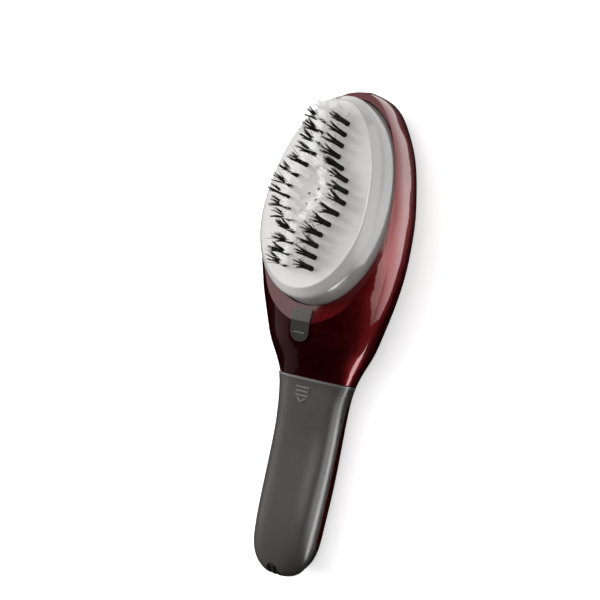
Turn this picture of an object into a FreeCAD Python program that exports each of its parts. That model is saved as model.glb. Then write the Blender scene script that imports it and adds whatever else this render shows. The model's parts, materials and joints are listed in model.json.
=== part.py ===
import FreeCAD, Part
import math
import os

os.makedirs("parts", exist_ok=True)

# Handheld garment steamer brush, lying on its back.  Millimetres, +Z up, +Y towards the head's tip,
# +X to the right as the user looks at the bristles.  The origin is on the flat of the head's back.
# "Head frame": the brush face is tilted 5 degrees, so head parts are drawn square to that face
# (z = 0 on the face, y = 0 in the middle of the tuft pattern) and then placed.

# ---- driving dimensions -------------------------------------------------------------------------
FACE_TILT = 5.0          # degrees the brush face dips towards the tip
FACE_Y = 15.0            # head-frame y that lies over the origin
FACE_Z = 58.0            # depth of the head behind the brush face
WALL = 2.0               # moulded wall thickness
PROUD = 0.8              # the tank stands out from the neck by this much
SEAM = 0.1               # gap along the housing's parting line
GAP = 0.4                # clearance between separate bodies

BEZEL_Z = -16.5          # head frame: flat rim round the brush
OPENING = 40.2           # half-width of the egg opening in the rim
SHELF_Z = -23.5          # head frame: shelf that carries the steam plate
PLATE_T = 2.0

EGG_W = 39.3             # brush cover: half-width at the rim
EGG_TOP = 71.0           # semi-axis towards the tip
EGG_LOW = 51.0           # semi-axis towards the handle
EGG_Y = -9.0             # head frame: widest line of the egg

TUFT_PITCH = 6.5
TUFT_H = 19.0
TUFT_ROOT = 1.6
TUFT_TIP = 2.6
TUFT_HALF = [8.3, 8.1, 8.2, 7.9, 12.1, 16.7, 18.8, 19.0, 16.6, 13.0, 9.4, 8.5, 9.2, 9.0]
STEAM_HOLE = 0.8
RING_INSET = 7.5         # soft tufts stand this far inside the black ones in the bulge

PART_Z = 16.2            # top of the rear shell along the handle
TANK_Y = -113.0          # tank's front end
HANDLE_CAP_Y = -206.0    # rear shell ends here, end cap begins
OUTLET_Z = 25.8          # tank outlet, socket and pump inlet axis
PUMP_Y = -90.0
PUMP_OUT_Z = 29.5
PIVOT_Y = -71.0
PIVOT_Z = 10.0
GLAND_Z = 9.0

# Outer form: y, half-width, height of the widest line, front height, back height, front squareness.
STATIONS = [
    (57.5, 3.0, 23.0, 28.0, 18.5, 2.4),
    (56.2, 7.2, 23.1, 33.0, 13.5, 2.5),
    (52.4, 14.8, 23.5, 41.0, 7.5, 2.8),
    (43.8, 22.7, 24.3, 45.4, 3.2, 3.2),
    (31.0, 30.4, 25.4, 47.4, 0.6, 3.5),
    (18.0, 35.9, 26.5, 48.6, -0.8, 3.6),
    (0.0, 40.9, 28.1, 50.2, -1.2, 3.6),
    (-18.0, 44.2, 29.7, 52.2, -1.0, 3.3),
    (-34.0, 45.4, 31.0, 55.2, -0.2, 2.75),
    (-48.0, 45.0, 30.6, 56.8, 1.2, 2.15),
    (-60.0, 43.1, 28.6, 57.0, 2.8, 1.9),
    (-71.0, 40.6, 26.8, 54.6, 4.0, 1.85),
    (-81.0, 37.8, 25.0, 49.6, 4.7, 1.92),
    (-92.0, 34.2, 23.2, 45.2, 4.8, 2.0),
    (-102.0, 29.2, 21.6, 39.8, 4.4, 2.1),
    (-113.0, 24.4, 20.0, 33.4, 3.6, 2.3),
    (-124.0, 21.9, 18.4, 31.8, 2.2, 2.5),
    (-140.0, 20.8, 16.8, 29.9, 0.6, 2.6),
    (-160.0, 20.6, 16.2, 29.4, -0.6, 2.6),
    (-185.0, 20.2, 16.4, 30.6, -1.0, 2.6),
    (-206.0, 19.4, 16.8, 30.8, -0.6, 2.6),
    (-218.0, 17.0, 17.0, 28.8, 1.6, 2.6),
    (-225.0, 12.2, 17.2, 25.6, 5.2, 2.5),
    (-228.4, 5.5, 17.2, 21.6, 11.4, 2.4),
]
BACK_SQUARENESS = 2.5

# Parting line between the housing halves, seen from the side: y, z.
PARTING = [
    (70.0, 22.6), (50.0, 23.9), (25.0, 26.0), (0.0, 28.1), (-25.0, 30.2), (-45.0, 30.6),
    (-62.0, 28.0), (-78.0, 24.6), (-92.0, 20.8), (-104.0, 17.6), (-112.6, PART_Z),
]


# ---- helpers ------------------------------------------------------------------------------------
def vec(x, y, z):
    return FreeCAD.Vector(x, y, z)


def box(x0, x1, y0, y1, z0, z1):
    return Part.makeBox(x1 - x0, y1 - y0, z1 - z0, vec(x0, y0, z0))


def rod_x(r, x0, x1, y, z):
    return Part.makeCylinder(r, x1 - x0, vec(x0, y, z), vec(1, 0, 0))


def rod_y(r, y0, y1, x, z):
    return Part.makeCylinder(r, y1 - y0, vec(x, y0, z), vec(0, 1, 0))


def rod_z(r, z0, z1, x, y):
    return Part.makeCylinder(r, z1 - z0, vec(x, y, z0), vec(0, 0, 1))


def tube_y(r_out, r_in, y0, y1, x, z):
    return rod_y(r_out, y0, y1, x, z).cut(rod_y(r_in, y0 - 1, y1 + 1, x, z))


def tube_z(r_out, r_in, z0, z1, x, y):
    return rod_z(r_out, z0, z1, x, y).cut(rod_z(r_in, z0 - 1, z1 + 1, x, y))


def fuse(shapes):
    return shapes[0].multiFuse(shapes[1:]).removeSplitter()


def group(shapes):
    solids = []
    for shape in shapes:
        solids.extend(shape.Solids)
    return Part.makeCompound(solids)


def in_head(shape):
    """Moves a shape drawn in the head frame to its place in the part's frame."""
    placed = shape.copy()
    placed.translate(vec(0, -FACE_Y, FACE_Z))
    placed.rotate(vec(0, 0, 0), vec(1, 0, 0), -FACE_TILT)
    return placed


def solids_only(shape):
    solids = [s for s in shape.Solids if s.Volume > 1.0]
    return solids[0] if len(solids) == 1 else Part.makeCompound(solids)


def export(name, shape):
    result = solids_only(shape) if name not in KEEP_SMALL else shape
    result.exportStep("parts/" + name + ".step")
    print(name, len(result.Solids), result.isValid(), round(result.Volume, 1))


KEEP_SMALL = {"piston_ring", "outlet_ring", "pump_spring", "release_spring"}


# ---- outer form ---------------------------------------------------------------------------------
def power(value, exponent):
    return math.copysign(abs(value) ** exponent, value)


def section(y, half, mid, front, back, squareness):
    points = []
    steps = 40
    for i in range(steps):
        t = 2 * math.pi * (i + 0.5) / steps
        c = math.cos(t)
        s = math.sin(t)
        if s > 0:
            n = squareness
            z = mid + (front - mid) * power(s, 2 / n)
        else:
            n = BACK_SQUARENESS
            z = mid + (mid - back) * power(s, 2 / n)
        points.append(vec(half * power(c, 2 / n), y, z))
    curve = Part.BSplineCurve()
    curve.interpolate(Points=points, PeriodicFlag=True)
    return Part.Wire([curve.toShape()])


def outer_form(grow, y_from=100.0):
    """The whole outer form, grown (or shrunk, when negative) by a wall's thickness."""
    wires = []
    for y, half, mid, front, back, squareness in STATIONS:
        if y > y_from or half + grow < 2.5:
            continue
        shift = 0.0
        if y > 50.0:
            shift = grow
        if y < -215.0:
            shift = -grow
        wires.append(section(y + shift, half + grow, mid, front + grow, back - grow, squareness))
    return Part.makeLoft(wires, True, False)


def parting_solid(above, offset):
    """Everything above, or below, the parting line."""
    points = [vec(-80, y, z + offset) for y, z in PARTING]
    curve = Part.BSplineCurve()
    curve.interpolate(Points=points, InitialTangent=vec(0, -1, 0.06), FinalTangent=vec(0, -1, 0))
    edge = curve.toShape()
    z_end = PART_Z + offset
    z_far = 90.0 if above else -20.0
    first = points[0]
    corners = [
        vec(-80, -112.6, z_end), vec(-80, -250, z_end), vec(-80, -250, z_far),
        vec(-80, first.y, z_far), first,
    ]
    edges = [edge] + [Part.makeLine(a, b) for a, b in zip(corners, corners[1:])]
    return Part.Face(Part.Wire(edges)).extrude(vec(160, 0, 0))


def egg_wire(half, z, shrink=None):
    """Egg outline in the head frame; its semi-axes follow the half-width."""
    inset = EGG_W - half if shrink is None else shrink
    points = []
    steps = 48
    for i in range(steps):
        t = 2 * math.pi * (i + 0.5) / steps
        reach = EGG_TOP - inset if math.sin(t) > 0 else EGG_LOW - inset
        points.append(vec(half * math.cos(t), EGG_Y + reach * math.sin(t), z))
    curve = Part.BSplineCurve()
    curve.interpolate(Points=points, PeriodicFlag=True)
    return Part.Wire([curve.toShape()])


def egg_slab(half, z0, z1):
    return Part.Face(egg_wire(half, z0)).extrude(vec(0, 0, z1 - z0))


def egg_dome(levels):
    return Part.makeLoft([egg_wire(half, z) for z, half in levels], True, False)


def below_head_plane(z):
    """Head-frame half space under a plane parallel to the brush face."""
    return in_head(box(-90, 90, -300, 150, z - 120, z))


# ---- housing ------------------------------------------------------------------------------------
HEAD_SCREWS = [(-34.0, -14.0), (34.0, -14.0)]
NECK_SCREWS = [(-17.0, -98.0), (17.0, -98.0)]
HEAD_SCREW_TIP = 32.6
NECK_SCREW_TIP = 27.0


def seam_z(y):
    """Height of the parting line, for the screw bosses."""
    for (y1, z1), (y0, z0) in zip(PARTING, PARTING[1:]):
        if y0 <= y <= y1:
            return z0 + (z1 - z0) * (y - y0) / (y1 - y0)
    return PART_Z


def make_front_housing(form, inner):
    above = parting_solid(True, SEAM / 2)
    shell = form.common(above).common(below_head_plane(BEZEL_Z))
    shell = shell.common(box(-90, 90, TANK_Y + GAP, 90, -20, 90))
    head_room = inner.common(below_head_plane(SHELF_Z - 2.0))
    neck_block = in_head(box(-60, 60, -140, -62.6, -70, BEZEL_Z - WALL))
    neck_room = inner.common(neck_block)
    room = head_room.fuse(neck_room).common(box(-90, 90, TANK_Y + GAP + WALL, 90, -20, 90))
    shell = shell.cut(room)
    shell = shell.cut(in_head(egg_slab(OPENING, SHELF_Z, 5)))
    shell = shell.cut(in_head(egg_slab(34.0, SHELF_Z - 4, SHELF_Z + 1)))
    shell = shell.cut(in_head(box(-3.1, 3.1, -80.2, -67.4, -40, -5)))
    shell = shell.cut(in_head(box(-5.2, 5.2, -64, -59, -23.0, -20.4)))
    shell = shell.cut(rod_y(6.2, TANK_Y - 5, TANK_Y + 4, 0, OUTLET_Z))
    bosses = []
    for x, y in HEAD_SCREWS:
        bosses.append(rod_z(3.6, seam_z(y) + 0.5, 35.0, x, y).cut(rod_z(1.5, 0, HEAD_SCREW_TIP + 0.6, x, y)))
    for x, y in NECK_SCREWS:
        bosses.append(rod_z(3.6, seam_z(y) + 0.5, 36.0, x, y).cut(rod_z(1.5, 0, NECK_SCREW_TIP + 1.0, x, y)))
    spring_seat = in_head(box(-4.0, 4.0, -85.2, SPRING_END - 0.3, -30.5, -22.0))
    return fuse([shell] + [part.common(form) for part in bosses + [spring_seat]])


def make_rear_housing(form, inner):
    below = parting_solid(False, -SEAM / 2)
    shell = form.common(below).common(box(-90, 90, HANDLE_CAP_Y, 90, 0, 90))
    room = inner.common(box(-90, 90, HANDLE_CAP_Y + WALL, 90, -20, 90))
    shell = shell.cut(room)
    extras = []
    for x, y in HEAD_SCREWS + NECK_SCREWS:
        extras.append(rod_z(4.6, 0, seam_z(y) - 0.5, x, y))
    for x, y in BRACKET_POSTS:
        extras.append(in_head(rod_z(3.0, -62, BRACKET_Z - 1.0, x, y)))
    for x in (-12.0, 12.0):
        extras.append(rod_z(2.5, 3, 14.0, x, PUMP_Y))
    for x0 in (-11.5, 9.0):
        extras.append(box(x0, x0 + 2.5, PIVOT_Y - 3.5, PIVOT_Y + 3.5, 2, PIVOT_Z + 3.5))
    for y in (-185.0, -140.0):
        extras.append(box(-10, 10, y - 1, y + 1, 0, 8.0))
    limit = form.common(box(-90, 90, HANDLE_CAP_Y, 90, 0, 90))
    shell = fuse([shell] + [e.common(limit) for e in extras])
    for x, y in HEAD_SCREWS + NECK_SCREWS:
        shell = shell.cut(rod_z(1.5, -1, 40, x, y))
        shell = shell.cut(rod_z(3.0, -1, 10.2, x, y))
    shell = shell.cut(rod_x(1.5, -20, 20, PIVOT_Y, PIVOT_Z))
    shell = shell.cut(box(-7.6, 7.6, TANK_Y + 0.6, PIVOT_Y + 2.5, -5, 8.5))
    shell = shell.cut(box(-3.2, 3.2, -60.6, -51.4, -5, 9))
    shell = shell.cut(rod_z(2.0, -5, 8, 0, -42))
    return shell


def make_end_cap(form, inner):
    below = parting_solid(False, 0)
    shell = form.common(below).common(box(-90, 90, -260, HANDLE_CAP_Y - SEAM, 0, 90))
    room = inner.common(box(-90, 90, -260, HANDLE_CAP_Y + 5, -20, 90))
    cap = shell.cut(room)
    boss = rod_y(7.4, -240, -212, 0, GLAND_Z).common(shell)
    cap = fuse([cap, boss])
    return cap.cut(rod_y(5.2, -240, -200, 0, GLAND_Z))


def make_cord_gland():
    return tube_y(5.2, 3.3, -226.0, -211.0, 0, GLAND_Z)


def make_handle_deck(inner):
    plate = inner.common(box(-60, 60, -203.8, -104.0, 14.2, PART_Z))
    stem = box(-4.0, 4.0, -200, -116, PART_Z - 0.5, 19.0)
    head = box(-6.5, 6.5, -200, -116, 18.4, 20.0)
    return fuse([plate, stem, head])


def make_housing_screws():
    screws = []
    for x, y in HEAD_SCREWS + NECK_SCREWS:
        tip = HEAD_SCREW_TIP if y > -50 else NECK_SCREW_TIP
        head = rod_z(2.8, 8.0, 10.2, x, y)
        slot = box(x - 2.0, x + 2.0, y - 0.4, y + 0.4, 7.0, 8.8)
        cross = box(x - 0.4, x + 0.4, y - 2.0, y + 2.0, 7.0, 8.8)
        screw = head.fuse(rod_z(1.5, 10.0, tip, x, y))
        screws.append(screw.cut(slot).cut(cross).removeSplitter())
    return group(screws)


# ---- steam generator, in the head frame ---------------------------------------------------------
BOILER_W = 26.0
INLET_Y = -52.0          # head frame: tip of the boiler's inlet tube
PORT_R = 1.5             # hose ports on pump and boiler
BRACKET_Z = -45.7
BRACKET_POSTS = [(-25.6, -19.6), (25.6, -19.6), (-22.0, 24.0), (22.0, 24.0)]


def oval_slab(half, reach, y_mid, z0, z1):
    """Rounded bar outline with straight sides."""
    body = box(-half, half, y_mid - reach + half, y_mid + reach - half, z0, z1)
    ends = [rod_z(half, z0, z1, 0, y_mid + side * (reach - half)) for side in (-1, 1)]
    return fuse([body] + ends)


def heater_path():
    leg = 14.0
    y0 = -50.0
    y1 = 12.0
    left = Part.makeLine(vec(-leg, y0, -42.5), vec(-leg, y1, -42.5))
    bend = Part.Arc(vec(-leg, y1, -42.5), vec(0, y1 + leg, -42.5), vec(leg, y1, -42.5)).toShape()
    right = Part.makeLine(vec(leg, y1, -42.5), vec(leg, y0, -42.5))
    return Part.Wire([left, bend, right])


def make_heater():
    ring = Part.Wire([Part.makeCircle(3.0, vec(-14.0, -50.0, -42.5), vec(0, 1, 0))])
    tube = heater_path().makePipeShell([ring], True, False)
    pins = [rod_y(1.2, -56.0, -50.0, x, -42.5) for x in (-14.0, 14.0)]
    return fuse([tube] + pins)


def make_steam_boiler(heater):
    body = oval_slab(BOILER_W, 42.0, -4.0, -42.0, -30.0)
    chamber = oval_slab(BOILER_W - 6.0, 35.0, -4.0, -37.0, -29.0)
    ribs = [box(-14.0, 14.0, y - 1.0, y + 1.0, -37.5, -31.0) for y in (-22.0, -10.0, 2.0, 14.0)]
    body = fuse([body.cut(chamber)] + ribs)
    inlet = rod_y(PORT_R, INLET_Y, -44.0, 0, -34.0)
    body = fuse([body, inlet]).cut(rod_y(0.8, -60.0, -36.0, 0, -34.0))
    for x, y in BOILER_SCREWS:
        body = body.cut(rod_z(1.2, -43.0, -36.0, x, y))
    return body.cut(heater)


BOILER_SCREWS = [(-22.5, -26.0), (22.5, -26.0), (-22.5, 18.0), (22.5, 18.0)]


def make_boiler_gasket():
    ring = oval_slab(BOILER_W - 1.0, 41.0, -4.0, -30.0, -29.2)
    return ring.cut(oval_slab(BOILER_W - 5.0, 36.0, -4.0, -31.0, -28.0))


def make_boiler_lid():
    lid = oval_slab(BOILER_W, 42.0, -4.0, -29.2, -27.6)
    nozzle = rod_z(3.4, -28.0, -22.0, 0, 6.0)
    return fuse([lid, nozzle]).cut(rod_z(2.2, -31.0, -20.0, 0, 6.0))


def make_boiler_bracket():
    plate = oval_slab(28.6, 47.0, -4.0, BRACKET_Z - 1.0, BRACKET_Z)
    plate = plate.cut(oval_slab(10.5, 34.0, -4.0, BRACKET_Z - 2.0, BRACKET_Z + 1.0))
    spacers = [tube_z(2.8, 1.2, BRACKET_Z - 0.5, -42.0, x, y) for x, y in BOILER_SCREWS]
    plate = fuse([plate] + spacers)
    for x, y in BOILER_SCREWS:
        plate = plate.cut(rod_z(1.2, -50.0, -40.0, x, y))
    return plate


def make_boiler_screws():
    screws = []
    for x, y in BOILER_SCREWS:
        head = rod_z(2.4, BRACKET_Z - 2.8, BRACKET_Z - 1.0, x, y)
        screws.append(head.fuse(rod_z(1.2, BRACKET_Z - 1.2, -37.0, x, y)).removeSplitter())
    return group(screws)


def make_thermostat():
    can = rod_z(6.5, -48.5, -42.0, 0, 4.0)
    base = rod_z(4.5, -50.5, -48.0, 0, 4.0)
    tabs = [box(x - 0.4, x + 0.4, 2.0, 6.0, -53.0, -50.0) for x in (-3.0, 3.0)]
    return fuse([can, base] + tabs)


def make_thermal_fuse():
    barrel = rod_y(2.0, -28.0, -12.0, 0, -44.0)
    leads = [rod_y(0.6, -34.0, -27.0, 0, -44.0), rod_y(0.6, -13.0, -6.0, 0, -44.0)]
    return fuse([barrel] + leads)


def make_steam_plate():
    plate = egg_slab(OPENING - 0.2, SHELF_Z, SHELF_Z + PLATE_T)
    plate = plate.cut(rod_z(4.8, -30, -15, 0, 6.0))
    for x in (-20.0, 20.0):
        plate = plate.cut(rod_z(2.7, -30, -15, x, -4.0))
    return plate


def make_plate_gasket():
    return tube_z(4.8, 3.4, SHELF_Z, SHELF_Z + PLATE_T, 0, 6.0)


# ---- brush head, in the head frame --------------------------------------------------------------
COVER_LEVELS = [
    (-21.0, 39.6), (-16.5, 39.3), (-12.0, 38.9), (-8.0, 38.2), (-5.5, 37.5), (-3.5, 36.4),
    (-2.0, 34.9), (-0.9, 32.8), (-0.3, 30.4), (0.0, 27.6),
]


def tuft_rows():
    return [(7.5 - (i + 1)) * TUFT_PITCH for i in range(len(TUFT_HALF))]


def black_places():
    return [(side * half, y) for half, y in zip(TUFT_HALF, tuft_rows()) for side in (-1, 1)]


def soft_places():
    places = [(0.0, 7.5 * TUFT_PITCH)]
    for i, (half, y) in enumerate(zip(TUFT_HALF, tuft_rows())):
        if i < 4 or i > 9:
            places.append((0.0, y))
        else:
            places.extend([(half - RING_INSET, y), (RING_INSET - half, y)])
    return places


def tuft(x, y):
    return Part.makeCone(TUFT_ROOT, TUFT_TIP, TUFT_H + 1.4, vec(x, y, -1.4), vec(0, 0, 1))


def make_tufts(places):
    return group([tuft(x, y) for x, y in places])


def make_brush_cover():
    inner_levels = [(z - WALL, half - WALL) for z, half in COVER_LEVELS if z > -20.0]
    inner_levels = [(-22.0, COVER_LEVELS[0][1] - WALL)] + inner_levels
    cover = egg_dome(COVER_LEVELS).cut(egg_dome(inner_levels))
    cutters = []
    for x, y in black_places() + soft_places():
        hole = Part.makeCone(TUFT_ROOT, TUFT_TIP, TUFT_H + 1.4, vec(x, y, -1.4), vec(0, 0, 1))
        cutters.append(hole)
    for y in (-16.25, -9.75, -3.25, 3.25, 9.75):
        cutters.append(rod_z(STEAM_HOLE, -5, 5, 0, y))
    for y in (-6.5, 0.0):
        for x in (-5.5, 5.5):
            cutters.append(rod_z(STEAM_HOLE, -5, 5, x, y))
    return cover.cut(Part.makeCompound(cutters))


def make_brush_base():
    base = egg_slab(36.6, -20.9, -19.0)
    wall = egg_slab(33.0, -19.5, -12.0).cut(egg_slab(31.4, -25.0, -10.0))
    pegs = [rod_z(2.3, -25.0, -20.0, x, -4.0) for x in (-20.0, 20.0)]
    base = fuse([base, wall] + pegs)
    for y in (-6.0, 18.0):
        base = base.cut(rod_z(3.0, -25, -15, 0, y))
    base = base.cut(rod_z(3.0, -25, -15, 0, 6.0))
    return base.cut(rod_z(6.0, -22, -19.6, 0, 6.0))


def make_brush_seal():
    return tube_z(6.0, 4.0, -21.1, -19.6, 0, 6.0)


# ---- release button, in the head frame ----------------------------------------------------------
SPRING_START = -76.7     # head-frame y of the release spring's two ends
SPRING_END = -83.2


def make_release_button():
    outline = fuse([box(-6.3, 6.3, -75.7, -63.0, -40, 0), rod_z(6.3, -40, 0, 0, -75.7)])
    side = [
        vec(-20, -62.0, -15.0), vec(-20, -70.4, -15.1), vec(-20, -84.0, -18.9),
        vec(-20, -84.0, -20.1), vec(-20, -72.8, -16.1), vec(-20, -62.0, -16.1),
    ]
    slab = Part.Face(Part.makePolygon(side + side[:1])).extrude(vec(40, 0, 0))
    cap = slab.common(outline)
    rib = box(-3.6, 3.6, -77.4, -76.4, -19.0, -16.6)
    stem = box(-2.6, 2.6, -76.8, -68.0, -23.2, -17.0)
    upper = box(-2.6, 2.6, -72.0, -68.0, -23.2, -15.8)
    return fuse([cap, rib, stem, upper])


def make_latch_slider():
    plate = box(-8, 8, -76.5, -64.8, -25.2, -23.2)
    spring_tab = box(-3, 3, -76.5, -75.0, -29.2, -25.0)
    tongue = box(-4.8, 4.8, -66.5, -60.9, -22.6, -20.8)
    riser = box(-4.8, 4.8, -66.5, -64.8, -25.2, -20.8)
    return fuse([plate, spring_tab, tongue, riser])


def helix_spring(radius, wire, length, pitch):
    coil = Part.makeHelix(pitch, length - 2 * wire, radius)
    ring = Part.Wire([Part.makeCircle(wire, vec(radius, 0, 0), vec(0, 1, 0))])
    spring = Part.Wire(coil.Edges).makePipeShell([ring], True, True)
    spring.translate(vec(0, 0, wire))
    return spring


def make_release_spring():
    spring = helix_spring(1.6, 0.3, SPRING_START - SPRING_END, 1.5)
    spring.rotate(vec(0, 0, 0), vec(1, 0, 0), 90)
    spring.translate(vec(0, SPRING_START, -27.1))
    return spring


# ---- water tank ---------------------------------------------------------------------------------
def make_water_tank(skin, hollow, relief):
    tank = skin.common(box(-90, 90, -260, TANK_Y, PART_Z + GAP, 90))
    room = hollow.common(box(-90, 90, -260, TANK_Y - WALL, PART_Z + GAP + 1.8, 90))
    tank = tank.cut(room)
    channel = box(-9, 9, -206, TANK_Y, PART_Z + GAP, 22.0)
    outlet_boss = rod_y(5.6, TANK_Y - 6, TANK_Y, 0, OUTLET_Z)
    filler_boss = rod_y(6.6, -240, -214, 0, 23.0).common(skin).common(box(-90, 90, -260, -210, 17, 90))
    tank = fuse([tank, channel, outlet_boss.common(skin), filler_boss, relief])
    tank = tank.cut(box(-4.4, 4.4, -204, TANK_Y + 1, 10, 18.6))
    tank = tank.cut(box(-6.9, 6.9, -204, TANK_Y + 1, 18.0, 20.4))
    tank = tank.cut(rod_y(4.0, TANK_Y - 3, TANK_Y + 1, 0, OUTLET_Z))
    tank = tank.cut(rod_y(2.0, TANK_Y - 10, TANK_Y, 0, OUTLET_Z))
    tank = tank.cut(rod_y(3.5, -230, -212, 0, 23.0))
    return tank.cut(rod_y(5.4, -240, -220.5, 0, 23.0))


def make_slide_icon(form, raised):
    """Raised grip bars and an arrow that show which way the tank slides."""
    marks = [box(-4.6, 4.6, y - 0.45, y + 0.45, 20, 60) for y in (-118.6, -121.0, -123.4)]
    for side in (-1, 1):
        stroke = box(-0.45, 0.45, -3.4, 0.45, 20, 60)
        stroke.rotate(vec(0, 0, 0), vec(0, 0, 1), side * 52)
        stroke.translate(vec(0, -127.2, 0))
        stroke.rotate(vec(0, -127.2, 0), vec(0, 0, 1), 180)
        marks.append(stroke)
    region = marks[0].multiFuse(marks[1:])
    return region.common(raised).cut(form)


def make_tank_outlet():
    nipple = tube_y(4.0, 2.0, TANK_Y - 3.0, -107.4, 0, OUTLET_Z)
    return nipple.cut(outlet_ring_shape())


def outlet_ring_shape():
    return Part.makeTorus(4.05, 0.7, vec(0, -109.6, OUTLET_Z), vec(0, 1, 0))


def make_tank_socket():
    cup = rod_y(6.2, TANK_Y + GAP, -105.0, 0, OUTLET_Z)
    spigot = rod_y(2.2, -105.5, -100.8, 0, OUTLET_Z)
    socket = fuse([cup, spigot])
    socket = socket.cut(rod_y(4.8, TANK_Y - 1, -106.6, 0, OUTLET_Z))
    return socket.cut(rod_y(1.3, -110, -100, 0, OUTLET_Z))


def make_filler_plug(skin):
    flange = rod_y(5.0, -240, -220.8, 0, 23.0).common(skin)
    stem = rod_y(3.45, -221.5, -213.5, 0, 23.0)
    finger_slots = [box(x0, x0 + 2.0, -240, -223.4, 18.5, 27.5) for x0 in (-3.0, 1.0)]
    return fuse([flange, stem]).cut(Part.makeCompound(finger_slots))


# ---- pump and trigger ---------------------------------------------------------------------------
def make_pump_body():
    barrel = rod_z(7.0, 14.0, 34.0, 0, PUMP_Y)
    flange = box(-13.2, 13.2, PUMP_Y - 5, PUMP_Y + 5, 14.0, 16.0)
    inlet = rod_y(2.2, -99.6, PUMP_Y - 5, 0, OUTLET_Z)
    outlet = rod_y(PORT_R, PUMP_Y + 6, PUMP_Y + 11.5, 0, PUMP_OUT_Z)
    pump = fuse([barrel, flange, inlet, outlet])
    pump = pump.cut(rod_z(5.0, 10, 31.0, 0, PUMP_Y))
    pump = pump.cut(rod_y(1.2, -101, PUMP_Y - 3, 0, OUTLET_Z))
    return pump.cut(rod_y(0.8, PUMP_Y + 3, PUMP_Y + 15, 0, PUMP_OUT_Z))


def make_pump_piston():
    head = rod_z(4.95, 19.5, 23.5, 0, PUMP_Y).cut(piston_ring_shape())
    rod = rod_z(2.0, 9.6, 20.0, 0, PUMP_Y)
    foot = rod_z(4.2, 9.4, 10.8, 0, PUMP_Y)
    return fuse([head, rod, foot])


def piston_ring_shape():
    return Part.makeTorus(4.35, 0.6, vec(0, PUMP_Y, 21.5), vec(0, 0, 1))


def make_pump_spring():
    spring = helix_spring(3.4, 0.4, 7.4, 1.9)
    spring.translate(vec(0, PUMP_Y, 23.55))
    return spring


def make_inlet_hose():
    return tube_y(3.4, 2.2, -104.6, -97.2, 0, OUTLET_Z)


def make_feed_hose():
    """Soft hose, stretched over the pump's outlet and the boiler's sloping inlet tube."""
    hose = tube_y(2.7, PORT_R + 0.05, PUMP_Y + 8.0, -60.7, 0, PUMP_OUT_Z)
    return hose.cut(in_head(rod_y(PORT_R + 0.05, INLET_Y - 2.0, -40.0, 0, -34.0)))


def make_steam_trigger():
    side = [
        vec(-7.0, PIVOT_Y + 1.5, 6.0), vec(-7.0, PIVOT_Y - 3.0, 4.4), vec(-7.0, PIVOT_Y - 12.0, 3.0),
        vec(-7.0, -100.0, 2.6), vec(-7.0, -110.5, 2.2), vec(-7.0, -111.2, 3.0), vec(-7.0, -111.2, 6.4),
        vec(-7.0, -113.8, 6.6), vec(-7.0, -113.8, 8.2), vec(-7.0, -109.0, 8.2), vec(-7.0, -108.0, 6.0),
        vec(-7.0, PIVOT_Y - 12.0, 6.2), vec(-7.0, PIVOT_Y - 2.0, 7.4),
    ]
    plate = Part.Face(Part.makePolygon(side + side[:1])).extrude(vec(14, 0, 0))
    boss = rod_x(3.4, -7.0, 7.0, PIVOT_Y, PIVOT_Z)
    web = box(-7.0, 7.0, PIVOT_Y - 3.0, PIVOT_Y + 1.0, 6.0, PIVOT_Z)
    push = box(-3.0, 3.0, PUMP_Y - 1.5, PUMP_Y + 1.5, 5.0, 9.0)
    grip = [rod_x(0.8, -5.0, 5.0, y, 2.9 - 0.5) for y in (-94.0, -98.0, -102.0, -106.0)]
    trigger = fuse([plate, boss, web, push] + grip)
    return trigger.cut(rod_x(1.55, -20, 20, PIVOT_Y, PIVOT_Z))


def make_trigger_pin():
    return rod_x(1.5, -11.5, 11.5, PIVOT_Y, PIVOT_Z)


# ---- switch, lamp and wiring --------------------------------------------------------------------
def make_power_slider():
    knob = box(-2.7, 2.7, -60.2, -55.4, 1.4, 7.2)
    ribs = [box(-2.7, 2.7, y - 0.4, y + 0.4, 0.9, 2.0) for y in (-59.4, -57.8, -56.2)]
    flange = box(-5.2, 5.2, -65.0, -51.0, 6.8, 8.0)
    return fuse([knob, flange] + ribs)


def make_switch_module():
    case = box(-6.5, 6.5, -66.0, -48.0, 8.5, 12.5)
    pins = [box(x - 0.4, x + 0.4, -58.0, -54.0, 12.0, 14.2) for x in (-4.0, 0.0, 4.0)]
    return fuse([case] + pins)


def make_indicator_lens():
    lens = rod_z(2.0, 0.7, 5.0, 0, -42)
    return lens.fuse(rod_z(3.0, 5.0, 6.0, 0, -42)).removeSplitter()


def make_circuit_board():
    board = box(-13, 13, -190, -134, 8.0, 9.6)
    chips = [
        box(-8, 2, -182, -172, 9.4, 12.6), box(-10, -3, -165, -158, 9.4, 12.0),
        box(2, 9, -160, -146, 9.4, 13.0), rod_z(3.0, 9.4, 13.4, 7, -178),
    ]
    return fuse([board] + chips)


def make_terminal_block():
    block = box(-8, 8, -203.0, -194.0, 3.2, 11.0)
    return block.cut(rod_z(1.6, 8.0, 12.0, -4.0, -198.5)).cut(rod_z(1.6, 8.0, 12.0, 4.0, -198.5))


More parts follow.
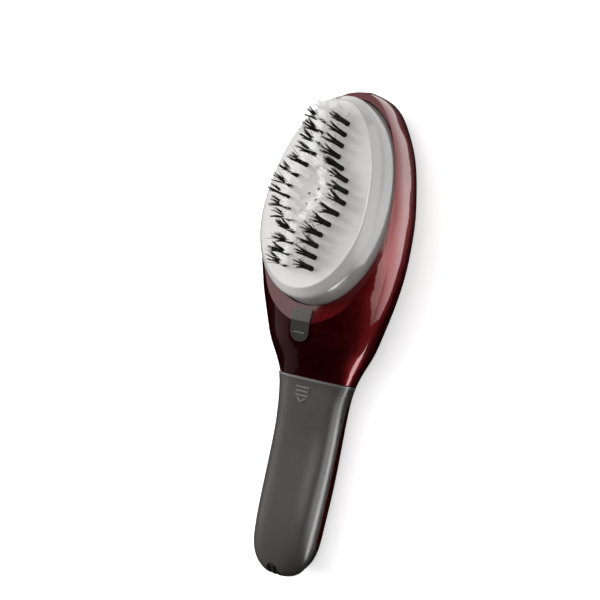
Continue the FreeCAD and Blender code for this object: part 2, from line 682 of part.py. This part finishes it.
# ---- build --------------------------------------------------------------------------------------
def main():
    form = outer_form(0.0)
    inner = outer_form(-WALL)
    skin = outer_form(PROUD, -70.0)
    raised = outer_form(PROUD + 0.6, -70.0)
    hollow = outer_form(PROUD - WALL, -70.0)
    heater = make_heater()

    export("front_housing", make_front_housing(form, inner))
    export("rear_housing", make_rear_housing(form, inner))
    export("end_cap", make_end_cap(form, inner))
    export("cord_gland", make_cord_gland())
    export("handle_deck", make_handle_deck(inner))
    export("housing_screws", make_housing_screws())

    export("heating_element", in_head(heater))
    export("steam_boiler", in_head(make_steam_boiler(heater)))
    export("boiler_gasket", in_head(make_boiler_gasket()))
    export("boiler_lid", in_head(make_boiler_lid()))
    export("boiler_bracket", in_head(make_boiler_bracket()))
    export("boiler_screws", in_head(make_boiler_screws()))
    export("thermostat", in_head(make_thermostat()))
    export("thermal_fuse", in_head(make_thermal_fuse()))
    export("steam_plate", in_head(make_steam_plate()))
    export("plate_gasket", in_head(make_plate_gasket()))

    corners = [0, 1, 14, 15, 26, 27]
    black = black_places()
    export("brush_cover", in_head(make_brush_cover()))
    export("brush_base", in_head(make_brush_base()))
    export("brush_seal", in_head(make_brush_seal()))
    export("bristle_tufts", in_head(make_tufts([p for i, p in enumerate(black) if i not in corners])))
    export("outer_tufts", in_head(make_tufts([black[i] for i in corners])))
    export("soft_tufts", in_head(make_tufts(soft_places())))

    export("release_button", in_head(make_release_button()))
    export("latch_slider", in_head(make_latch_slider()))
    export("release_spring", in_head(make_release_spring()))

    export("water_tank", make_water_tank(skin, hollow, make_slide_icon(form, raised)))
    export("tank_outlet", make_tank_outlet())
    export("outlet_ring", outlet_ring_shape())
    export("filler_plug", make_filler_plug(skin))
    export("tank_socket", make_tank_socket())

    export("pump_body", make_pump_body())
    export("pump_piston", make_pump_piston())
    export("piston_ring", piston_ring_shape())
    export("pump_spring", make_pump_spring())
    export("inlet_hose", make_inlet_hose())
    export("feed_hose", make_feed_hose())
    export("steam_trigger", make_steam_trigger())
    export("trigger_pin", make_trigger_pin())

    export("power_slider", make_power_slider())
    export("switch_module", make_switch_module())
    export("indicator_lens", make_indicator_lens())
    export("circuit_board", make_circuit_board())
    export("terminal_block", make_terminal_block())


main()
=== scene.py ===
import bmesh
import bpy
import json
import math
import random
from mathutils import Matrix, Vector


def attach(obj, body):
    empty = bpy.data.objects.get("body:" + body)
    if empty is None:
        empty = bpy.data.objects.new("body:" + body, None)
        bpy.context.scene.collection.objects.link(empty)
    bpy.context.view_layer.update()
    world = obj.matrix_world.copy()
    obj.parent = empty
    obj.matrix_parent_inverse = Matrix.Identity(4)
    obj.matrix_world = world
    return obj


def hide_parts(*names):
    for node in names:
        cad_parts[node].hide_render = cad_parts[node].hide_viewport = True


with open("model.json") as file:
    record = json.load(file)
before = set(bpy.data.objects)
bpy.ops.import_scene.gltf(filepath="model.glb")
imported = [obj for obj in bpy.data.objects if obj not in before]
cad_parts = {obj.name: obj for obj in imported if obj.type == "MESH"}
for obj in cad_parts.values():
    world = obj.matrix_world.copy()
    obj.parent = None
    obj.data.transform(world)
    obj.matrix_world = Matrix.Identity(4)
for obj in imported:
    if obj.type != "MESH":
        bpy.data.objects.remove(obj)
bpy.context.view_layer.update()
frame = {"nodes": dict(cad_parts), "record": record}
NODES = frame["nodes"]
TILT = math.radians(5.0)
FACE_ORIGIN = Vector((0.0, 0.015, -0.058))
TO_ROW = Matrix.Rotation(-TILT, 4, "X") @ Matrix.Translation(-FACE_ORIGIN)


def in_head(x, y, z):
    """A point of the tilted brush head, given in metres square to its face."""
    return TO_ROW @ Vector((x, y, z))


# ---- materials ----------------------------------------------------------------------------------
def new_material(name):
    m = bpy.data.materials.new(name)
    m.use_nodes = True
    nt = m.node_tree
    nt.nodes.clear()
    out = nt.nodes.new("ShaderNodeOutputMaterial")
    bsdf = nt.nodes.new("ShaderNodeBsdfPrincipled")
    nt.links.new(bsdf.outputs["BSDF"], out.inputs["Surface"])
    return m, nt, bsdf


def noise(nt, coords, scale, detail=3.0, rough=0.5):
    n = nt.nodes.new("ShaderNodeTexNoise")
    n.inputs["Scale"].default_value = scale
    n.inputs["Detail"].default_value = detail
    n.inputs["Roughness"].default_value = rough
    nt.links.new(coords, n.inputs["Vector"])
    return n.outputs["Fac"]


def ramp(nt, fac, stops):
    r = nt.nodes.new("ShaderNodeValToRGB")
    els = r.color_ramp.elements
    while len(els) < len(stops):
        els.new(0.5)
    for e, (pos, col) in zip(els, stops):
        e.position = pos
        e.color = (*col, 1.0) if len(col) == 3 else col
    nt.links.new(fac, r.inputs["Fac"])
    return r.outputs["Color"]


def remap(nt, fac, lo, hi):
    m = nt.nodes.new("ShaderNodeMapRange")
    m.inputs["From Min"].default_value = 0.3
    m.inputs["From Max"].default_value = 0.7
    m.inputs["To Min"].default_value = lo
    m.inputs["To Max"].default_value = hi
    nt.links.new(fac, m.inputs["Value"])
    return m.outputs["Result"]


def bump(nt, height, strength, distance, normal=None):
    b = nt.nodes.new("ShaderNodeBump")
    b.inputs["Strength"].default_value = strength
    b.inputs["Distance"].default_value = distance
    nt.links.new(height, b.inputs["Height"])
    if normal is not None:
        nt.links.new(normal, b.inputs["Normal"])
    return b.outputs["Normal"]


def moulded(name, dark, light, rough, grain=3000.0, grain_depth=0.00001, wave_depth=0.0,
            coat=0.0, coat_rough=0.05, metallic=0.0, ior=1.5, transmission=0.0, subsurface=0.0, tint=18.0,
            glow=0.0):
    """Moulded or coated surface: cloudy colour, uneven gloss, fine grain and a faint long ripple."""
    m, nt, bsdf = new_material(name)
    coords = nt.nodes.new("ShaderNodeTexCoord").outputs["Object"]
    cloud = noise(nt, coords, tint, 2.0)
    nt.links.new(ramp(nt, cloud, [(0.35, dark), (0.65, light)]), bsdf.inputs["Base Color"])
    smear = noise(nt, coords, 220.0, 4.0, 0.6)
    nt.links.new(remap(nt, smear, rough * 0.85, rough * 1.15), bsdf.inputs["Roughness"])
    normal = bump(nt, noise(nt, coords, grain, 2.0), 0.5, grain_depth)
    if wave_depth:
        normal = bump(nt, noise(nt, coords, 90.0, 1.0), 0.5, wave_depth, normal)
    nt.links.new(normal, bsdf.inputs["Normal"])
    bsdf.inputs["Metallic"].default_value = metallic
    bsdf.inputs["IOR"].default_value = ior
    bsdf.inputs["Coat Weight"].default_value = coat
    bsdf.inputs["Coat Roughness"].default_value = coat_rough
    bsdf.inputs["Transmission Weight"].default_value = transmission
    bsdf.inputs["Subsurface Weight"].default_value = subsurface
    bsdf.inputs["Subsurface Radius"].default_value = (1.0, 1.0, 1.0)
    bsdf.inputs["Subsurface Scale"].default_value = 0.002
    # glow is emission; on the clear filaments it is painted light
    bsdf.inputs["Emission Color"].default_value = (0.9, 0.895, 0.89, 1.0)
    bsdf.inputs["Emission Strength"].default_value = glow
    return m


def brushed(name, dark, light, rough, along=(1.0, 1.0, 60.0), metallic=1.0):
    """Metal with drawn streaks."""
    m, nt, bsdf = new_material(name)
    coords = nt.nodes.new("ShaderNodeTexCoord").outputs["Object"]
    stretch = nt.nodes.new("ShaderNodeMapping")
    stretch.inputs["Scale"].default_value = along
    nt.links.new(coords, stretch.inputs["Vector"])
    streaks = noise(nt, stretch.outputs["Vector"], 90.0, 4.0, 0.6)
    nt.links.new(ramp(nt, streaks, [(0.3, dark), (0.7, light)]), bsdf.inputs["Base Color"])
    nt.links.new(remap(nt, streaks, rough * 0.8, rough * 1.3), bsdf.inputs["Roughness"])
    nt.links.new(bump(nt, streaks, 0.4, 0.00002), bsdf.inputs["Normal"])
    bsdf.inputs["Metallic"].default_value = metallic
    return m


RED = moulded("gloss_red", (0.095, 0.0026, 0.0040), (0.115, 0.0036, 0.0055), 0.38, grain=1400.0,
              grain_depth=0.000003, wave_depth=0.00001, coat=1.0, coat_rough=0.03, metallic=0.93)
WHITE = moulded("satin_white", (0.66, 0.645, 0.64), (0.70, 0.685, 0.68), 0.32, grain=2600.0,
                grain_depth=0.000006, coat=0.8, coat_rough=0.10, subsurface=0.04)
TANK = moulded("satin_grey", (0.064, 0.059, 0.057), (0.075, 0.069, 0.067), 0.34, grain=3600.0,
               grain_depth=0.000012, coat=0.6, coat_rough=0.28)


def paint_slide_icon_highlights(material):
    """Painted highlights on the tank: paler tops for its raised bars and arrow, and a paler line along
    its front edge in place of that edge's catch light.
    """
    nt = material.node_tree
    bsdf = nt.nodes["Principled BSDF"]

    def math_node(operation, a, b=0.0, c=0.0):
        node = nt.nodes.new("ShaderNodeMath")
        node.operation = operation
        for socket, value in zip(node.inputs, (a, b, c)):
            if isinstance(value, (int, float)):
                socket.default_value = value
            else:
                nt.links.new(value, socket)
        return node.outputs["Value"]

    coords = nt.nodes.new("ShaderNodeTexCoord").outputs["Object"]
    split = nt.nodes.new("ShaderNodeSeparateXYZ")
    nt.links.new(coords, split.inputs["Vector"])
    across = math_node("ABSOLUTE", split.outputs["X"])
    along = split.outputs["Y"]
    # paler tops of the raised bars and arrow: painted highlight
    bars = 0.0
    for y in (-0.1186, -0.1210, -0.1234):
        bars = math_node("ADD", math_node("COMPARE", along, y, 0.00045), bars)
    bars = math_node("MULTIPLY", bars, math_node("LESS_THAN", across, 0.0046))
    slope = math_node("MULTIPLY_ADD", across, -0.78, along)
    arrow = math_node("MULTIPLY", math_node("COMPARE", slope, -0.1272, 0.0007),
                      math_node("LESS_THAN", across, 0.0029))
    front = math_node("GREATER_THAN", split.outputs["Z"], 0.028)
    highlight_mask = math_node("MULTIPLY", math_node("MAXIMUM", bars, arrow), front)
    # painted highlight: a paler line along the tank's front edge, standing in for the catch light on that
    # edge
    lip_highlight = math_node("COMPARE", along, -0.1135, 0.0008)
    highlight_mask = math_node("MAXIMUM", highlight_mask, lip_highlight)
    highlight_blend = nt.nodes.new("ShaderNodeMix")
    highlight_blend.data_type = "RGBA"
    nt.links.new(highlight_mask, highlight_blend.inputs[0])
    nt.links.new(bsdf.inputs["Base Color"].links[0].from_socket, highlight_blend.inputs[6])
    # painted highlight colour for the bar and arrow tops and the front-edge line
    highlight_blend.inputs[7].default_value = (0.17, 0.165, 0.16, 1.0)
    nt.links.new(highlight_blend.outputs[2], bsdf.inputs["Base Color"])


paint_slide_icon_highlights(TANK)
TRIM = moulded("trim_grey", (0.036, 0.034, 0.030), (0.042, 0.040, 0.036), 0.30, grain=3600.0,
               grain_depth=0.00001, coat=1.0, coat_rough=0.2)
DARK = moulded("dark_plastic", (0.012, 0.012, 0.013), (0.022, 0.022, 0.023), 0.45)
PALE = moulded("pale_plastic", (0.55, 0.55, 0.53), (0.66, 0.66, 0.63), 0.40)
RUBBER = moulded("black_rubber", (0.008, 0.008, 0.008), (0.02, 0.02, 0.02), 0.65, grain=5000.0,
                 grain_depth=0.00003)
SILICONE = moulded("silicone", (0.50, 0.48, 0.46), (0.62, 0.60, 0.57), 0.45, transmission=0.25,
                   subsurface=0.2)
STEEL = brushed("plated_steel", (0.40, 0.40, 0.41), (0.62, 0.62, 0.63), 0.28)
ALUMINIUM = brushed("cast_aluminium", (0.45, 0.46, 0.47), (0.66, 0.67, 0.68), 0.48, along=(1.0, 1.0, 1.0))
CERAMIC = moulded("ceramic", (0.60, 0.54, 0.44), (0.70, 0.65, 0.55), 0.55)
BOARD = moulded("board_green", (0.012, 0.07, 0.025), (0.02, 0.11, 0.04), 0.35, tint=300.0)
AMBER = moulded("amber_lens", (0.60, 0.22, 0.02), (0.75, 0.32, 0.04), 0.12, coat=0.5, transmission=0.5)
BLACK_HAIR = moulded("black_filament", (0.0015, 0.0015, 0.002), (0.004, 0.004, 0.0045), 0.6, ior=1.25,
                     tint=900.0)
# painted light: the clear filaments glow a little, standing in for light that passes through them
CLEAR_HAIR = moulded("clear_filament", (0.80, 0.795, 0.79), (0.88, 0.875, 0.87), 0.35, subsurface=0.5,
                     tint=900.0, glow=0.17)

FINISH = {
    "red_shell": RED, "white_shell": WHITE, "grey_trim": TRIM, "grey_tank": TANK, "dark_plastic": DARK,
    "white_plastic": PALE, "dark_rubber": RUBBER, "silicone": SILICONE, "steel": STEEL,
    "cast_aluminium": ALUMINIUM, "ceramic_body": CERAMIC, "black_bristle": BLACK_HAIR,
    "clear_bristle": CLEAR_HAIR, "amber_lens": AMBER, "board_green": BOARD,
}
for part in frame["record"]["subparts"]:
    node = NODES[part["node"]]
    node.data.materials.clear()
    node.data.materials.append(FINISH[part["material_slot"]])


# ---- bristles -----------------------------------------------------------------------------------
PITCH = 0.0065
HALF = [8.3, 8.1, 8.2, 7.9, 12.1, 16.7, 18.8, 19.0, 16.6, 13.0, 9.4, 8.5, 9.2, 9.0]
ROW_Y = [(6.5 - i) * PITCH for i in range(len(HALF))]


def black_places():
    return [(side * h / 1000.0, y) for h, y in zip(HALF, ROW_Y) for side in (-1, 1)]


def soft_places():
    places = [(0.0, 7.6 * PITCH), (-0.0056, 7.45 * PITCH), (0.0056, 7.45 * PITCH)]
    for i, (h, y) in enumerate(zip(HALF, ROW_Y)):
        if i < 4 or i > 9:
            places.append((0.0, y))
        else:
            places.extend([((h - 7.5) / 1000.0, y), ((7.5 - h) / 1000.0, y)])
    return places


def filament(verts, faces, path, radius, tip, sides=5):
    """One bristle: a thin tapering tube along its path."""
    base = len(verts)
    last = len(path) - 1
    for k, p in enumerate(path):
        axis = (path[min(k + 1, last)] - path[max(k - 1, 0)]).normalized()
        u = axis.cross(Vector((0.0, 1.0, 0.3))).normalized()
        w = axis.cross(u)
        r = radius + (tip - radius) * (k / last) ** 3
        for i in range(sides):
            a = 2 * math.pi * i / sides
            verts.append(p + u * (r * math.cos(a)) + w * (r * math.sin(a)))
    for k in range(last):
        for i in range(sides):
            a = base + k * sides + i
            b = base + k * sides + (i + 1) % sides
            faces.append((a, b, b + sides, a + sides))
    faces.append(tuple(base + i for i in reversed(range(sides))))
    faces.append(tuple(base + last * sides + i for i in range(sides)))


def disc(rng, radius):
    a = rng.uniform(0, 2 * math.pi)
    r = radius * math.sqrt(rng.random())
    return Vector((r * math.cos(a), r * math.sin(a), 0.0))


def tuft_mesh(name, places, count, radius, tip, root, splay, clumps, loose, height, seed, material):
    """Bundles of bristles: each bundle parts into a few locks that end in points."""
    rng = random.Random(seed)
    verts, faces = [], []
    for x, y in places:
        lean = disc(rng, 0.0009)
        turn = rng.uniform(0, 2 * math.pi)
        locks = []
        for c in range(clumps):
            a = turn + 2 * math.pi * c / clumps + rng.uniform(-0.4, 0.4)
            out = Vector((math.cos(a), math.sin(a), 0.0))
            locks.append((out * splay * rng.uniform(0.55, 1.25) + lean, rng.uniform(0.86, 1.0), out))
        for i in range(count):
            a = i * 2.39996
            d = math.sqrt((i + 0.5) / count)
            foot = Vector((math.cos(a), math.sin(a), 0.0)) * (root * d)
            end, reach, out = max(locks, key=lambda lock: lock[2].dot(foot) + rng.uniform(0, root * 0.6))
            end = end + disc(rng, splay * loose)
            if rng.random() < 0.07:
                end = end + disc(rng, splay * 1.6)
            length = height * reach * rng.uniform(0.9, 1.0)
            path = []
            for k in range(6):
                t = k / 5.0
                flat = foot * (1 - 0.25 * t) * (1 - t ** 2.2) + end * t ** 2.2
                path.append(in_head(x + flat.x, y + flat.y, -0.0013 + t * (length + 0.0013)))
            filament(verts, faces, path, radius * rng.uniform(0.9, 1.1), tip)
    mesh = bpy.data.meshes.new(name)
    mesh.from_pydata([tuple(v) for v in verts], [], faces)
    mesh.polygons.foreach_set("use_smooth", [True] * len(mesh.polygons))
    mesh.update()
    obj = bpy.data.objects.new(name, mesh)
    bpy.context.scene.collection.objects.link(obj)
    mesh.materials.append(material)
    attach(obj, "brush_head")
    return obj


black = black_places()
corners = {0, 1, 14, 15, 26, 27}
inner_black = [p for i, p in enumerate(black) if i not in corners]
outer_black = [black[i] for i in sorted(corners)]
BLACK = dict(count=54, radius=0.00020, tip=0.00005, root=0.00140, splay=0.0026, clumps=5, loose=0.30,
             height=0.0196)
hair = tuft_mesh("black_tufts", inner_black, seed=3, material=BLACK_HAIR, **BLACK)
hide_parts("bristle_tufts")
hair = tuft_mesh("black_tufts_outer", outer_black, seed=4, material=BLACK_HAIR, **BLACK)
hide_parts("outer_tufts")
CLEAR = dict(count=90, radius=0.00016, tip=0.00007, root=0.0014, splay=0.0021, clumps=6, loose=0.55,
             height=0.0188)
hair = tuft_mesh("clear_tufts", soft_places(), seed=5, material=CLEAR_HAIR, **CLEAR)
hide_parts("soft_tufts")


# ---- brush cover --------------------------------------------------------------------------------
EGG_W = 0.0393
EGG_TOP = 0.0710
EGG_LOW = 0.0510
EGG_Y = -0.0090
SIDES = 160
STEAM_HOLE = 0.0008
DRILL_ENDS = (-0.004, 0.002)
SHARP_EDGE = 35.0
# half-width and height of each ring, from the lip up over the shoulder to the flat face
OUTSIDE = [
    (39.6, -21.0), (39.45, -18.5), (39.3, -16.5), (39.05, -13.5), (38.75, -10.5), (38.45, -8.0),
    (38.15, -6.2), (37.8, -5.1), (37.2, -4.2), (36.3, -3.1), (35.4, -2.0), (34.7, -1.15),
    (34.25, -0.62), (33.95, -0.28), (33.7, -0.05), (33.45, 0.08), (33.15, 0.1), (32.8, 0.06),
    (32.3, 0.02), (31.0, 0.01), (26.0, 0.02), (20.0, 0.03),
]
INSIDE = [
    (24.0, -2.0), (31.6, -2.1), (33.4, -3.4), (34.9, -5.6), (35.9, -8.0), (36.9, -14.0), (37.6, -21.0),
]


def egg_ring(half, z):
    """One egg-shaped ring of the cover, at a half-width and a height above its face."""
    inset = EGG_W - half
    points = []
    for i in range(SIDES):
        t = 2 * math.pi * i / SIDES
        reach = (EGG_TOP if math.sin(t) > 0 else EGG_LOW) - inset
        points.append(in_head(half * math.cos(t), EGG_Y + reach * math.sin(t), z))
    return points


def steam_holes():
    spots = [(0.0, y) for y in (-16.25, -9.75, -3.25, 3.25, 9.75)]
    spots += [(side * 5.5, y) for y in (-6.5, 0.0) for side in (-1, 1)]
    return [(x / 1000.0, y / 1000.0) for x, y in spots]


def cover_mesh():
    """The cover as a closed shell: rings up the outside, across the face and down the inside."""
    rings = [egg_ring(h / 1000.0, z / 1000.0) for h, z in OUTSIDE + INSIDE]
    verts = [p for ring in rings for p in ring]
    faces = []
    count = len(rings)
    cap = len(OUTSIDE) - 1
    for r in range(count):
        if r == cap:
            continue
        nxt = (r + 1) % count
        for i in range(SIDES):
            j = (i + 1) % SIDES
            faces.append((r * SIDES + i, r * SIDES + j, nxt * SIDES + j, nxt * SIDES + i))
    faces.append(tuple(cap * SIDES + i for i in range(SIDES)))
    faces.append(tuple((cap + 1) * SIDES + i for i in reversed(range(SIDES))))
    mesh = bpy.data.meshes.new("cover_shell")
    mesh.from_pydata([tuple(v) for v in verts], [], faces)
    mesh.update()
    return mesh


def drill(obj, spots, radius, sides=20):
    """Cuts small round holes square to the brush face."""
    verts, faces = [], []
    for x, y in spots:
        base = len(verts)
        for z in DRILL_ENDS:
            for i in range(sides):
                a = 2 * math.pi * i / sides
                verts.append(in_head(x + radius * math.cos(a), y + radius * math.sin(a), z))
        for i in range(sides):
            j = (i + 1) % sides
            faces.append((base + i, base + j, base + sides + j, base + sides + i))
        faces.append(tuple(base + i for i in reversed(range(sides))))
        faces.append(tuple(base + sides + i for i in range(sides)))
    mesh = bpy.data.meshes.new("drills")
    mesh.from_pydata([tuple(v) for v in verts], [], faces)
    tool = bpy.data.objects.new("drills", mesh)
    bpy.context.scene.collection.objects.link(tool)
    cut = obj.modifiers.new("drill", "BOOLEAN")
    cut.operation = "DIFFERENCE"
    cut.solver = "EXACT"
    cut.object = tool
    graph = bpy.context.evaluated_depsgraph_get()
    result = bpy.data.meshes.new_from_object(obj.evaluated_get(graph))
    obj.modifiers.clear()
    old = obj.data
    obj.data = result
    bpy.data.meshes.remove(old)
    bpy.data.objects.remove(tool)
    bpy.data.meshes.remove(mesh)


def smooth_by_angle(mesh, degrees):
    """Smooth shading that breaks at edges sharper than the angle."""
    bm = bmesh.new()
    bm.from_mesh(mesh)
    bmesh.ops.recalc_face_normals(bm, faces=bm.faces)
    limit = math.radians(degrees)
    for face in bm.faces:
        face.smooth = True
    for edge in bm.edges:
        edge.smooth = len(edge.link_faces) == 2 and edge.calc_face_angle(0.0) < limit
    bm.to_mesh(mesh)
    bm.free()


cover = bpy.data.objects.new("cover_shell", cover_mesh())
bpy.context.scene.collection.objects.link(cover)
drill(cover, steam_holes(), STEAM_HOLE)
smooth_by_angle(cover.data, SHARP_EDGE)
cover.data.materials.clear()
cover.data.materials.append(WHITE)
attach(cover, "brush_head")
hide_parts("brush_cover")


# ---- floor, light and camera --------------------------------------------------------------------
FLOOR_HALF = 3.0
FLOOR_DROP = 0.0004


def floor():
    """A pale paper floor with a glow of its own."""
    mesh = bpy.data.meshes.new("floor")
    s = FLOOR_HALF
    mesh.from_pydata([(-s, -s, 0), (s, -s, 0), (s, s, 0), (-s, s, 0)], [], [(0, 1, 2, 3)])
    obj = bpy.data.objects.new("floor", mesh)
    bpy.context.scene.collection.objects.link(obj)
    obj.location.z = -FLOOR_DROP
    m, nt, bsdf = new_material("floor_paper")
    coords = nt.nodes.new("ShaderNodeTexCoord").outputs["Object"]
    nt.links.new(ramp(nt, noise(nt, coords, 3.0), [(0.3, (0.90, 0.90, 0.90)), (0.7, (0.92, 0.92, 0.92))]),
                 bsdf.inputs["Base Color"])
    bsdf.inputs["Roughness"].default_value = 0.9
    bsdf.inputs["Specular IOR Level"].default_value = 0.1
    bsdf.inputs["Emission Color"].default_value = (1.0, 1.0, 1.0, 1.0)
    bsdf.inputs["Emission Strength"].default_value = 0.55
    mesh.materials.append(m)
    obj.visible_glossy = False
    obj.visible_diffuse = False


def area(name, location, target, size, power):
    """A square soft light that gloss doesn't show."""
    data = bpy.data.lights.new(name, "AREA")
    data.shape = "RECTANGLE"
    data.size = size
    data.size_y = size
    data.energy = power
    obj = bpy.data.objects.new(name, data)
    bpy.context.scene.collection.objects.link(obj)
    obj.location = location
    obj.rotation_mode = "QUATERNION"
    obj.rotation_quaternion = (Vector(location) - Vector(target)).to_track_quat("Z", "Y")
    obj.visible_camera = False
    obj.visible_glossy = False


def card(name, outline, glow_at):
    """A bright card that only shows in gloss; glow_at lists (y, radiance) along it."""
    mesh = bpy.data.meshes.new(name)
    mesh.from_pydata(outline, [], [tuple(range(len(outline)))])
    obj = bpy.data.objects.new(name, mesh)
    bpy.context.scene.collection.objects.link(obj)
    m = bpy.data.materials.new(name)
    m.use_nodes = True
    nt = m.node_tree
    nt.nodes.clear()
    out = nt.nodes.new("ShaderNodeOutputMaterial")
    glow = nt.nodes.new("ShaderNodeEmission")
    coords = nt.nodes.new("ShaderNodeTexCoord").outputs["Object"]
    split = nt.nodes.new("ShaderNodeSeparateXYZ")
    nt.links.new(coords, split.inputs["Vector"])
    low, high = glow_at[0][0], glow_at[-1][0]
    along = nt.nodes.new("ShaderNodeMapRange")
    along.inputs["From Min"].default_value = low
    along.inputs["From Max"].default_value = high
    nt.links.new(split.outputs["Y"], along.inputs["Value"])
    peak = max(g for _, g in glow_at)
    levels = ramp(nt, along.outputs["Result"],
                  [((y - low) / (high - low), (g / peak, g / peak, g / peak)) for y, g in glow_at])
    nt.links.new(levels, glow.inputs["Color"])
    glow.inputs["Strength"].default_value = peak
    nt.links.new(glow.outputs["Emission"], out.inputs["Surface"])
    mesh.materials.append(m)
    obj.visible_camera = False
    obj.visible_diffuse = False
    obj.visible_shadow = False
    obj.visible_transmission = False


def from_angles(distance, azimuth, elevation):
    a, e = math.radians(azimuth), math.radians(elevation)
    return Vector((math.cos(a) * math.cos(e), math.sin(a) * math.cos(e), math.sin(e))) * distance


floor()
MIDDLE = Vector((0.0, -0.02, 0.04))
GRIP = Vector((0.0, -0.14, 0.03))
KEY_DISTANCE = 1.2
TABLE_Z = 0.002
area("overhead", from_angles(1.3, 150, 66), MIDDLE, 1.3, 9.0)
area("right_fill", from_angles(1.3, 5, 68), MIDDLE, 0.8, 5.0)
area("left_fill", from_angles(1.1, 195, 22), GRIP, 0.35, 8.0)
key_axis = from_angles(1.0, 153, 56)
key_side = key_axis.cross(Vector((0, 0, 1))).normalized()
key_up = key_side.cross(key_axis)
centre = MIDDLE + key_axis * KEY_DISTANCE
card("key_card", [centre + key_side * sx + key_up * sy for sx, sy in
                  ((-0.30, -0.5), (0.5, -0.5), (0.5, 0.03), (-0.30, 0.03))],
     [(-0.1, 2.1), (0.25, 2.1), (0.38, 1.7), (0.50, 1.0), (0.7, 0.6), (0.9, 0.4)])
card("top_card", [(0.06, 0.02, 1.0), (0.50, 0.02, 1.0), (0.50, 0.6, 1.0), (0.06, 0.6, 1.0)],
     [(0.0, 14.0), (1.0, 14.0)])
inner_edge = [(0.5, -0.37), (0.093, -0.099), (0.071, -0.062), (0.060, -0.022), (0.052, 0.005),
              (0.043, 0.029), (0.028, 0.060), (-0.02, 0.09), (-0.3, 0.2)]
GLOW = [(-0.16, 1.0), (-0.11, 2.2), (-0.07, 3.2), (0.0, 2.9), (0.038, 2.1), (0.08, 1.6)]
card("table_card", [(x, y, TABLE_Z) for x, y in inner_edge + [(-0.3, 1.0), (0.5, 1.0)]], GLOW)
card("side_card", [(0.5, -0.37, 0.0), (0.5, 1.0, 0.0), (0.5, 1.0, 0.27), (0.5, -0.27, 0.27)],
     [(-0.37, 1.0), (-0.25, 2.6), (-0.1, 3.2), (0.1, 2.6), (0.3, 2.0)])
card("grip_card", [(0.045, -0.24, TABLE_Z), (0.12, -0.24, TABLE_Z), (0.12, -0.138, TABLE_Z),
                   (0.048, -0.138, TABLE_Z)],
     [(-0.25, 6.5), (0.0, 6.5)])
card("left_card", [(-0.5, -0.7, 0.02), (-0.5, 0.0, 0.02), (-0.5, 0.0, 0.3), (-0.5, -0.7, 0.3)],
     [(-0.7, 0.10), (-0.4, 0.14), (-0.2, 0.25), (-0.05, 0.3)])

world = bpy.data.worlds.new("studio")
bpy.context.scene.world = world
world.use_nodes = True
world.node_tree.nodes["Background"].inputs["Color"].default_value = (1, 1, 1, 1)
world.node_tree.nodes["Background"].inputs["Strength"].default_value = 0.12
world.cycles_visibility.glossy = False

camera_data = bpy.data.cameras.new("camera")
camera_data.lens = 72.0
camera_data.sensor_width = 36.0
camera_data.clip_start = 0.01
camera_data.clip_end = 20.0
camera = bpy.data.objects.new("camera", camera_data)
bpy.context.scene.collection.objects.link(camera)
bpy.context.scene.camera = camera
right = Vector((0.81655, 0.20265, -0.54054))
up = Vector((-0.15801, 0.97906, 0.12835))
back = Vector((0.55523, -0.01940, 0.83147))
place = Vector((0.37632, -0.08313, 0.61806))
camera.matrix_world = Matrix(
    (
        (right.x, up.x, back.x, place.x),
        (right.y, up.y, back.y, place.y),
        (right.z, up.z, back.z, place.z),
        (0, 0, 0, 1),
    )
)
bpy.context.scene.view_settings.view_transform = "Standard"
